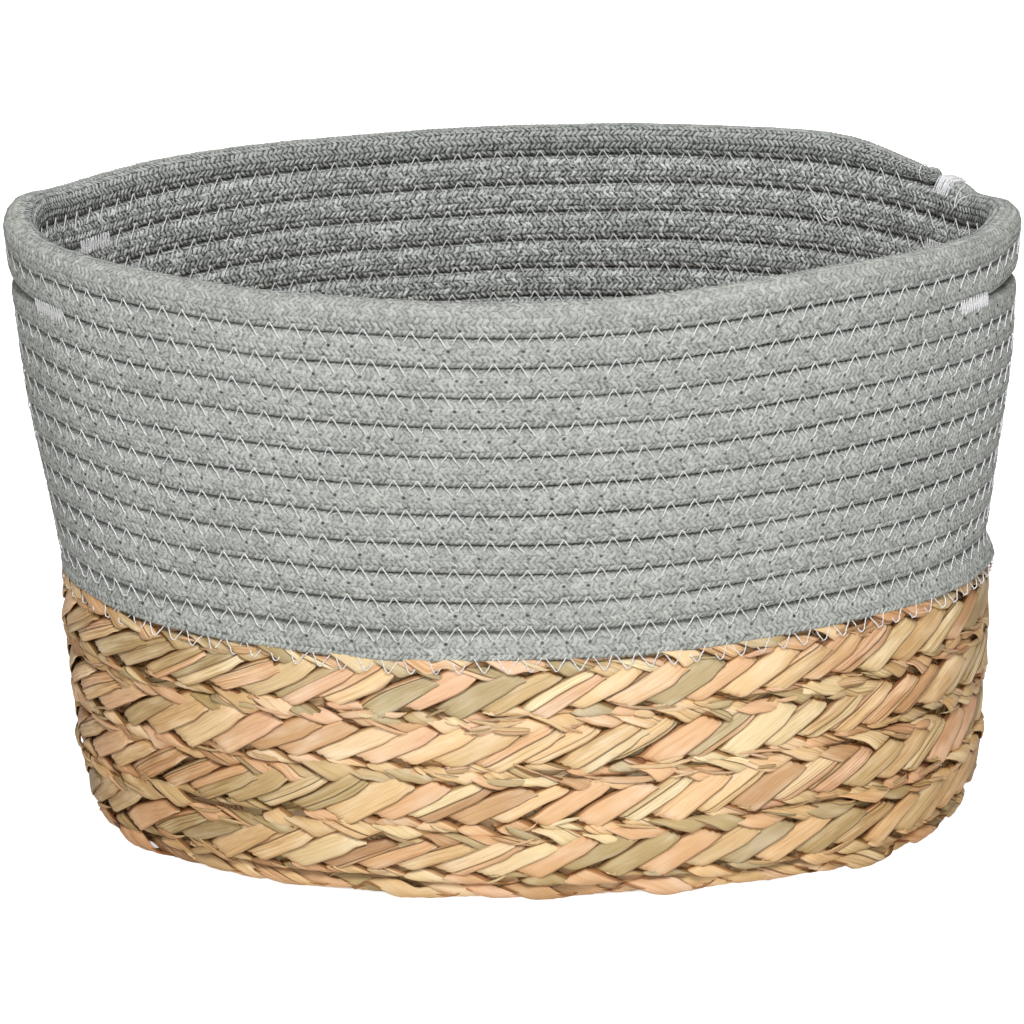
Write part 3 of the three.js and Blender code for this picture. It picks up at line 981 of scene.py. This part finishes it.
class FinishPlan(Plan):
    """A material's node tree, with its one shader."""

    def __init__(self, name):
        self.made = bpy.data.materials.new(name)
        self.made.use_nodes = True
        super().__init__(self.made.node_tree)
        self.tree.nodes.clear()
        self.shader = self.node("ShaderNodeBsdfPrincipled")
        surface = Value(self, self.shader.outputs[0])
        self.node("ShaderNodeOutputMaterial", {"Surface": surface})
        self.place = self.value("ShaderNodeTexCoord", "Object")

    def attribute(self, name):
        return self.parts(self.value("ShaderNodeAttribute", "Vector", attribute_name=name))

    def ramp(self, value, stops):
        node = self.node("ShaderNodeValToRGB", {"Fac": value})
        elements = node.color_ramp.elements
        while len(elements) < len(stops):
            elements.new(0.5)
        for element, (place, shade) in zip(elements, stops):
            element.position = place
            element.color = (*shade, 1)
        return Value(self, node.outputs["Color"])

    def mixed(self, share, first, second, blend="MIX"):
        node = self.node("ShaderNodeMix", {"Factor": share}, data_type="RGBA", blend_type=blend)
        for socket, shade in ((node.inputs[6], first), (node.inputs[7], second)):
            self.feed(socket, shade if isinstance(shade, Value) else (*shade, 1))
        return Value(self, node.outputs[2])

    def times(self, first, second):
        return self.mixed(1.0, first, second, "MULTIPLY")

    def finish(self, base, roughness, **others):
        """Ends the tree with what its shader takes, which is named as in Blender."""
        self.feed(self.shader.inputs["Base Color"], base)
        self.feed(self.shader.inputs["Roughness"], roughness)
        for label, value in others.items():
            self.feed(self.shader.inputs[label.replace("_", " ")], value)
        return self.made

    def bump(self, height, strength, distance):
        inputs = {"Height": height, "Strength": strength, "Distance": distance}
        return self.value("ShaderNodeBump", inputs=inputs)


def needle_hole(plan, phase, height, face, stitch, offset, reach):
    """How near a point of the rope is to a needle hole, 1 at its middle."""
    leg = plan.math("ROUND", (phase - offset) / 2.0) * 2.0 + offset
    jitter = plan.noise(plan.point(leg * LEG_SEED, face), 1.0) * HOLE_SPREAD
    low = plan.noise(plan.point(leg * REACH_SEED, face, 5.0), 1.0) * (1.2 * MM)
    along = (phase - leg - jitter) * stitch
    far = plan.vector("LENGTH", plan.point(along * 0.9, height - reach - low * (1.0 - offset)))
    seen = plan.step(plan.noise(plan.point(leg * 1.93, face, 8.0), 1.0), -0.25, 0.1)
    return (1.0 - plan.step(far, 0.25 * MM, 0.6 * MM)) * seen


def braided_cotton(scene):
    """Matt braided cotton: painted shade between the strands, with fine yarn along them."""
    rope, thread = scene.basket_rope, scene.basket_thread
    plan = FinishPlan("braided_cotton")
    phase, column, _ = plan.attribute("braid")
    below, above, rise = plan.attribute("sewn")
    strand = phase + plan.noise(plan.place, 380.0, 3.0, 0.6) * 1.1
    crest = 0.5 + 0.5 * plan.math("COSINE", strand * math.tau)
    middle = 1.0 - abs((column % 1.0) * 2.0 - 1.0)
    own = plan.hashed(plan.math("ROUND", strand), plan.math("FLOOR", column), 0.5)
    yarn = plan.noise(plan.point(strand * 6.0, column * 1.6), 1.0, 2.0)
    patch = plan.noise(plan.place, 45.0, 3.0)
    fuzz = plan.noise(plan.place, 1150.0, 4.0, 0.7)
    half_pitch = rope.wall_height / rope.rows / 2
    face = plan.math("SIGN", column - rope.columns / 2)
    stitch = thread.stitch
    foot = needle_hole(plan, above / stitch, half_pitch - rise, face, stitch, 0.0, thread.below)
    over = thread.above + 0.3 * MM
    peak = needle_hole(plan, below / stitch, rise + half_pitch, face, stitch, 1.0, over)
    hole = plan.math("MAXIMUM", foot, peak * 0.7)
    stroke = plan.math("MINIMUM", 1.5 * middle, 1.0)  # each strand dips under at its column's edges
    height = crest * (0.08 + 0.92 * stroke) * (0.5 + 0.6 * own) + yarn * 0.5 + fuzz * 1.7
    # Painted light: the upper half of a row is lighter and its gaps paler, as if lit from above. Painted
    # shade: the gaps are darkest on the inside, and a little wider on the rim.
    painted_top_light = plan.step(rise, -1.8 * MM, 2.2 * MM)
    inside = 1.0 - plan.step(column / float(rope.columns), 0.38, 0.53)
    not_rim = plan.math("GREATER_THAN", above, -1.0)
    on_rim = 1.0 - not_rim
    lit = plan.step(height + painted_top_light * 0.06 - inside * 0.1 - on_rim * 0.03, -0.22, 0.37)
    gap = plan.mixed(inside, rope.shade, INSIDE_GAP_SHADE)
    gap = plan.mixed(painted_top_light * 0.2 * (1.0 - inside), gap, rope.yarn)
    base = plan.mixed(lit, gap, rope.yarn)
    # Painted shade in the groove along each seam.
    groove = plan.math("MAXIMUM", rise * not_rim, rise * -1.0) + fuzz * (0.8 * MM)
    base = plan.mixed(plan.step(groove, 4.1 * MM, 4.5 * MM) * 0.2, base, GROOVE_SHADE)
    base = plan.times(base, plan.ramp(patch * 0.4 + own * 0.5 + fuzz * 1.6 + 0.24, YARN_TINTS))
    # Painted light and shade: the rim is a little darker, and the inside is lighter, with painted
    # highlights on some strands. The inside also takes a cooler tint.
    bright = plan.step(own * 0.6 + yarn + fuzz, 0.3, 0.7)
    wear_and_painted_light = not_rim * 0.03 + inside * not_rim * (bright * 0.38 + 0.1) + 0.97
    base = plan.times(plan.times(base, wear_and_painted_light), plan.mixed(inside, WHITE, INSIDE_TINT))
    # Painted shade in the needle holes.
    base = plan.mixed(hole * 0.92, base, NEEDLE_HOLE_SHADE)
    bump = plan.bump(height - hole * 1.5, 0.85, 0.4 * MM)
    return plan.finish(base, 0.95, Specular_IOR_Level=0.15, Normal=bump)


LEAF_STREAK, LEAF_HIGHLIGHT, LEAF_SHADE = (0.7, 0.58, 0.46), (1.0, 0.94, 0.8), (0.33, 0.18, 0.06)
# Painted shade near the floor and at the ends of the oval, and painted light on the lit parts at the ends.
LEAF_SPLIT, FOOT_PAINTED_SHADE = (0.16, 0.085, 0.035), (0.93, 0.9, 0.84)
END_PAINTED_SHADE, END_PAINTED_LIGHT = (0.54, 0.43, 0.3), (1.1, 1.05, 0.99)
LEAF_TONES = (
    (0.00, (0.55, 0.33, 0.18)),
    (0.05, (0.66, 0.42, 0.22)),
    (0.12, (0.80, 0.50, 0.28)),
    (0.26, (0.86, 0.57, 0.33)),
    (0.40, (0.90, 0.65, 0.36)),
    (0.52, (0.74, 0.53, 0.28)),
    (0.62, (0.58, 0.45, 0.23)),
    (0.70, (0.50, 0.40, 0.22)),
    (0.78, (0.78, 0.60, 0.34)),
    (0.88, (0.95, 0.80, 0.49)),
    (0.97, (0.84, 0.54, 0.34)),
)


def dry_straw(scene):
    """Flattened dry leaves, each its own tone, with fibres along them, painted highlights, and painted
    shadow at their edges.
    """
    plan = FinishPlan("dry_straw")
    along, cross, strand = plan.attribute("straw")
    passed, way, face = plan.attribute("weave")
    strand = plan.math("ROUND", strand)
    leaf = plan.math("FLOOR", (passed + LEAF_SHIFT) / (2.0 * scene.basket_plait.strands))
    drift = plan.noise(plan.point(along * 24.0, strand * 5.7), 1.0, 2.0)
    # A split leaf is two slivers, each its own tone.
    wear_and_painted_light = plan.step(plan.hashed(leaf, strand, 7.5), 0.5, 0.75)
    split = (plan.hashed(leaf, strand, 9.5) - 0.5) * 1.2
    split = split + plan.noise(plan.point(along * 9.0, strand * 11.3, leaf), 1.0, 1.0) * 0.7
    second = plan.math("GREATER_THAN", cross - split, 0.0) * plan.math("GREATER_THAN", wear_and_painted_light, 0.5)
    tone = (plan.hashed(leaf, strand, 0.5) + second * plan.hashed(leaf, strand, 3.5) * 0.5) % 1.0
    shade = plan.ramp(tone + drift * 0.16, LEAF_TONES)
    fibre = plan.noise(plan.point(along * 45.0, cross * 7.0, strand * 3.1), 1.0, 3.0, 0.6)
    fine = plan.noise(plan.point(along * 150.0, cross * 22.0, strand * 1.7), 1.0, 2.0)
    streak = plan.step(fibre * (0.5 + wear_and_painted_light) + fine * 0.5, -0.45, 0.25)
    body = plan.mixed(streak, plan.times(shade, LEAF_STREAK), shade)
    # Painted highlights along the leaves.
    light = plan.noise(plan.point(along * 70.0, cross * 0.8, strand * 9.1 + 3.0), 1.0, 2.0)
    light = plan.step(light, -0.1, 0.35)
    body = plan.mixed(light * 0.5, body, plan.mixed(0.6, shade, LEAF_HIGHLIGHT))
    # A leaf is painted in shade where the next one covers its upper edge, along its edges, and where it
    # dives.
    covered = plan.step(cross * way * -1.0, 0.62, 0.8) * plan.step(abs(way), 0.8, 1.0)
    edge = plan.step(abs(cross), 0.93, 1.0) * 0.6
    dive = 1.0 - plan.step(abs(face), 0.0, 0.55)
    dark = plan.math("MAXIMUM", plan.math("MAXIMUM", covered * 0.8, edge), dive)
    body = plan.mixed(dark, body, plan.times(shade, LEAF_SHADE))
    # Painted light and shade: the plait is darker and browner at the ends of the oval, with its lit parts
    # a little brighter there, and darker near the floor.
    long_way, _, height_up = plan.parts(plan.place)
    end_shade_mask = plan.step(abs(long_way), 45 * MM, 115 * MM)
    foot_shade_mask = 1.0 - plan.step(height_up, 8 * MM, 45 * MM)
    bright = streak * 0.6 + light * 0.4
    at_end = plan.mixed(bright * (1.0 - dark), END_PAINTED_SHADE, END_PAINTED_LIGHT)
    body = plan.times(body, plan.mixed(end_shade_mask, WHITE, at_end))
    body = plan.times(body, plan.mixed(foot_shade_mask, WHITE, FOOT_PAINTED_SHADE))
    line = (1.0 - plan.step(abs(cross - split), 0.03, 0.09)) * wear_and_painted_light
    body = plan.mixed(line * 0.8, body, LEAF_SPLIT)
    bump = plan.bump(fibre * (0.4 + wear_and_painted_light) + fine * 0.4 - line * 0.8, 0.7, 0.5 * MM)
    return plan.finish(body, 0.5, Specular_IOR_Level=0.22, Normal=bump)


def white_thread(scene):
    """Twisted thread: finely mottled, because its plies turn in and out of the light."""
    white = scene.basket_thread.white
    plan = FinishPlan("white_thread")
    ply = plan.step(plan.noise(plan.place, 2600.0, 2.0), -0.2, 0.15)
    base = plan.mixed(ply, tuple(part * 0.62 for part in white), white)
    # The thread is darker at the left end.
    darker_left = 1.0 - plan.step(plan.parts(plan.place)[0], -137 * MM, -130 * MM)
    return plan.finish(plan.mixed(darker_left * 0.75, base, LEFT_END_GREY), 0.6)


# Pieces

FINISHES = {}  # each is made once and shared by its pieces


def shaped(name, guide, tree, finish, node="", **inputs):
    """Runs a tree on a guide, keeps the result as a plain mesh, and hands it to the frame."""
    scene = bpy.context.scene
    piece = bpy.data.objects.new(name, guide.copy())
    scene.collection.objects.link(piece)
    modifier = piece.modifiers.new("Shape", "NODES")
    modifier.node_group = tree
    if finish not in FINISHES:
        FINISHES[finish] = finish(scene)
    values = {titled(label): value for label, value in inputs.items()}
    values["Finish"] = FINISHES[finish]
    for item in tree.interface.items_tree:
        if item.item_type == "SOCKET" and item.in_out == "INPUT" and item.name in values:
            modifier[item.identifier] = values[item.name]
    bpy.context.view_layer.update()
    shape = piece.evaluated_get(bpy.context.evaluated_depsgraph_get())
    mesh = bpy.data.meshes.new_from_object(shape)
    piece.modifiers.remove(modifier)
    piece.data = mesh
    mesh.name = name
    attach(piece, "root")
    if node:
        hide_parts(node)


def picked(settings, *labels):
    """Some of a group's settings, as inputs for a tree."""
    return {label: getattr(settings, label) for label in labels}


class BASKET_OT_rope(bpy.types.Operator):
    """Winds the braided cotton rope, twelve turns of one length, as six meshes of two turns."""

    bl_idname = "basket.rope"
    bl_label = "Cotton Rope"

    def execute(self, context):
        rope = context.scene.basket_rope
        winding = Winding(context.scene)
        guide, lengths = rope_guide(winding, seam_guide(winding)[1])
        tree = rope_tree()
        cuts = [round(cut / rope.stroke) for cut in lengths[: -1 : STEPS_PER_TURN * 2]]
        cuts = [cut * rope.stroke for cut in (*cuts, math.floor(lengths[-1] / rope.stroke))]
        for part, (start, end) in enumerate(zip(cuts, cuts[1:])):
            shaped(
                f"rope_turns_{part * 2 + 1}_to_{part * 2 + 2}", guide, tree, braided_cotton,
                "rope_wall", start=start, end=end, rings=round((end - start) / (rope.stroke / 2)) + 1,
                sides=rope.columns * 2, columns=float(rope.columns),
                half_width=rope.width / 2 - rope.relief, crown_height=rope.crown,
                **picked(rope, "stroke", "slant", "relief", "squareness"),
            )
        return {"FINISHED"}


def wind_plait(scene, name, plait_line, parts, node, seed):
    """Lays the strands along a guide, as a few meshes one after the other."""
    plait = scene.basket_plait
    guide, lengths = plait_line(Winding(scene))
    tree = plait_tree()
    ends = [mix(4 * MM, lengths[-1] - 4 * MM, part / parts) for part in range(parts + 1)]
    for part, (start, end) in enumerate(zip(ends, ends[1:])):
        shaped(
            f"{name}_{part + 1}", guide, tree, dry_straw, node,
            start=start, end=end, rings=round((end - start) / plait.step) + 1,
            row_height=plait.wall_height / plait.wall_rows - 0.3 * MM,
            width=plait.strand_width, thickness=plait.strand_thickness, seed=seed,
            **picked(plait, "strands", "spacing", "layer", "bulge", "shingle", "fold_run"),
        )
    return {"FINISHED"}


class BASKET_OT_wall_plait(bpy.types.Operator):
    """Winds the straw plait of the lower wall on edge, four rows, as four meshes."""

    bl_idname = "basket.wall_plait"
    bl_label = "Wall Plait"

    def execute(self, context):
        return wind_plait(context.scene, "wall_plait", plait_guide, 4, "braided_wall", 0.0)


class BASKET_OT_base_plait(bpy.types.Operator):
    """Winds the straw plait of the base flat, from its core outwards, as two meshes."""

    bl_idname = "basket.base_plait"
    bl_label = "Base Plait"

    def execute(self, context):
        return wind_plait(context.scene, "base_plait", base_guide, 2, "braided_base", 50.0)


class BASKET_OT_slivers(bpy.types.Operator):
    """Scatters loose slivers of leaf along the edges of the wall plait's rows."""

    bl_idname = "basket.slivers"
    bl_label = "Loose Slivers"

    def execute(self, context):
        plait = context.scene.basket_plait
        guide, lengths = plait_guide(Winding(context.scene))
        shaped(
            "loose_slivers", guide, sliver_tree(), dry_straw, "braided_wall",
            start=20 * MM, end=lengths[-1] - 20 * MM, count=plait.slivers,
            row_height=plait.wall_height / plait.wall_rows, seed=4.0,
        )
        return {"FINISHED"}


class BASKET_OT_loose_threads(bpy.types.Operator):
    """Ties the rope's end down and leaves the loose threads of the photograph beside it."""

    bl_idname = "basket.loose_threads"
    bl_label = "Loose Threads"

    def execute(self, context):
        guide = guide_mesh("loose_guide", loose_lines(Winding(context.scene)))
        radius = context.scene.basket_thread.thickness / 2
        shaped("loose_threads", guide, loose_tree(), white_thread, radius=radius)
        return {"FINISHED"}


class BASKET_OT_seams(bpy.types.Operator):
    """Sews the zigzag thread over every seam but the hand slots, and a tack at each slot's end."""

    bl_idname = "basket.seams"
    bl_label = "Seams and Tacks"

    def execute(self, context):
        scene = context.scene
        thread, slots = scene.basket_thread, scene.basket_slots
        winding = Winding(scene)
        guide, lengths = seam_guide(winding)
        tree = thread_tree()

        def stretch(end, *places):
            """Where along the seam a stretch between two places of a slot starts and ends."""
            turns = sorted(winding.slot_turns(end, place) for place in places)
            return [float(np.interp(turn, winding.rope_turns, lengths)) for turn in turns]

        def sew(name, start, end, points_of_leg, node="", **inputs):
            shaped(
                name, guide, tree, white_thread, node, start=start, end=end,
                points=round((end - start) / inputs["stitch"] * points_of_leg) + 1,
                squareness=scene.basket_rope.squareness, **inputs,
            )

        open_stretches = [stretch(*slot) for slot in winding.slot_ends()]
        cuts = [6 * MM, *sum(open_stretches, []), lengths[-1] - 12 * MM]
        for face, side in (("outer", 1.0), ("inner", -1.0)):
            for part, (start, end) in enumerate(zip(cuts[::2], cuts[1::2])):
                sew(
                    f"seam_thread_{face}_{part + 1}", start, end, 8, side=side, seed=side,
                    radius=thread.thickness / 2, peak_sink=0.5 * MM, foot_sink=0.9 * MM,
                    **picked(thread, "stitch", "above", "below"),
                )
            for end, *edges in winding.slot_ends():
                for edge, label in zip(edges, ("front", "back")):
                    far = edge + math.copysign(slots.tack_length, edge)
                    sew(
                        f"tack_{end}_{label}_{face}", *stretch(end, edge, far), 6,
                        f"slot_tack_{end}_{label}_{face}", side=side, seed=3.0 + side,
                        stitch=thread.tack_pitch, above=slots.tack_height / 2,
                        below=slots.tack_height / 2, radius=thread.thickness * 0.55,
                        peak_sink=0.35 * MM, foot_sink=0.35 * MM, tack=1.0,
                    )
        return {"FINISHED"}


# Stage

# Each lamp's place, size and watts.
LAMPS = {
    "key_softbox": ((-0.08, -1.7, 1.95), 0.8, 47),
    "front_softbox": ((-0.1, -2.4, 0.8), 0.9, 14),
    "top_softbox": ((0.0, 0.1, 1.9), 0.6, 8),
}
HALF_FLOOR = 6.0
FOOTPRINT = ((6 * MM, 130 * MM), (-2 * MM, 86 * MM))  # of the base, its middle and half size each way
PICTURE_PIXELS = 1024
PICTURE_SHIFT = (-23.4, -30.5)  # in pixels


def pale_floor(stage):
    """Plain paper, lit from below to the white of the photograph where the camera sees it."""
    plan = FinishPlan("pale_floor")
    paper = plan.noise(plan.place, 9.0, 4.0)
    dull = tuple(part * 0.97 for part in stage.floor)
    seen = plan.value("ShaderNodeLightPath", "Is Camera Ray")
    # No light comes through the small holes of the base: the floor under it is dark.
    along, across, _ = plan.parts(plan.place)
    (middle, half_length), (middle_across, half_width) = FOOTPRINT
    away = plan.point((along - middle) / half_length, (across - middle_across) / half_width)
    away = plan.vector("LENGTH", away)
    open_floor = plan.step(away, 0.93, 1.0)
    base = plan.mixed(plan.step(paper, -0.2, 0.2), dull, stage.floor)
    return plan.finish(base, 0.9, Emission_Strength=(seen * 0.9 + 0.08) * open_floor)


class BASKET_OT_stage(bpy.types.Operator):
    """Sets the floor, the soft studio light and the camera of the photograph."""

    bl_idname = "basket.stage"
    bl_label = "Studio Stage"

    def execute(self, context):
        scene = context.scene
        stage = scene.basket_stage
        mesh = bpy.data.meshes.new("studio_floor")
        corners = [(x * HALF_FLOOR, y * HALF_FLOOR, 0) for x, y in ((-1, -1), (1, -1), (1, 1), (-1, 1))]
        mesh.from_pydata(corners, [], [(0, 1, 2, 3)])
        mesh.materials.append(pale_floor(stage))
        floor = bpy.data.objects.new("studio_floor", mesh)
        scene.collection.objects.link(floor)

        world = bpy.data.worlds.new("soft_white_room")
        world.use_nodes = True
        background = world.node_tree.nodes["Background"]
        background.inputs["Color"].default_value = (1, 1, 1, 1)
        background.inputs["Strength"].default_value = 0.2
        scene.world = world

        aim = Vector((scene.basket_oval.rim_lean, 0, stage.aim_height))
        for name, (place, size, power) in LAMPS.items():
            lamp = bpy.data.lights.new(name, "AREA")
            lamp.size = size
            lamp.energy = power
            light = bpy.data.objects.new(name, lamp)
            light.location = place
            light.rotation_euler = (aim - Vector(place)).to_track_quat("-Z", "Y").to_euler()
            scene.collection.objects.link(light)

        camera = bpy.data.objects.new("photograph_camera", bpy.data.cameras.new("photograph_camera"))
        scene.collection.objects.link(camera)
        camera.data.lens = stage.lens
        camera.data.sensor_width = 36
        camera.data.shift_x, camera.data.shift_y = (part / PICTURE_PIXELS for part in PICTURE_SHIFT)
        camera.data.clip_end = 50
        near = math.cos(stage.elevation)
        back = Vector(
            (-near * math.sin(stage.turn), -near * math.cos(stage.turn), math.sin(stage.elevation))
        )
        camera.location = aim + back * stage.distance
        camera.rotation_euler = (-back).to_track_quat("-Z", "Y").to_euler()
        scene.camera = camera
        scene.view_settings.view_transform = "Standard"
        return {"FINISHED"}


PIECES = (
    BASKET_OT_rope,
    BASKET_OT_wall_plait,
    BASKET_OT_base_plait,
    BASKET_OT_slivers,
    BASKET_OT_seams,
    BASKET_OT_loose_threads,
    BASKET_OT_stage,
)


class BASKET_PT_pieces(bpy.types.Panel):
    """Lists the pieces of the basket in the sidebar."""

    bl_idname = "BASKET_PT_pieces"
    bl_label = "Basket"
    bl_space_type = "VIEW_3D"
    bl_region_type = "UI"
    bl_category = "Basket"

    def draw(self, context):
        for group in GROUPS:
            settings = getattr(context.scene, group)
            box = self.layout.box()
            for label in settings.__annotations__:
                box.prop(settings, label)
        for piece in PIECES:
            self.layout.operator(piece.bl_idname)


CLASSES = (*GROUPS.values(), *PIECES, BASKET_PT_pieces)


def register():
    for made in CLASSES:
        bpy.utils.register_class(made)
    for name, group in GROUPS.items():
        setattr(bpy.types.Scene, name, PointerProperty(type=group))


def unregister():
    for name in GROUPS:
        delattr(bpy.types.Scene, name)
    for made in reversed(CLASSES):
        bpy.utils.unregister_class(made)


def main():
    register()
    bpy.ops.basket.rope()
    bpy.ops.basket.wall_plait()
    bpy.ops.basket.base_plait()
    bpy.ops.basket.slivers()
    bpy.ops.basket.seams()
    bpy.ops.basket.loose_threads()
    bpy.ops.basket.stage()


if __name__ == "__main__":
    main()
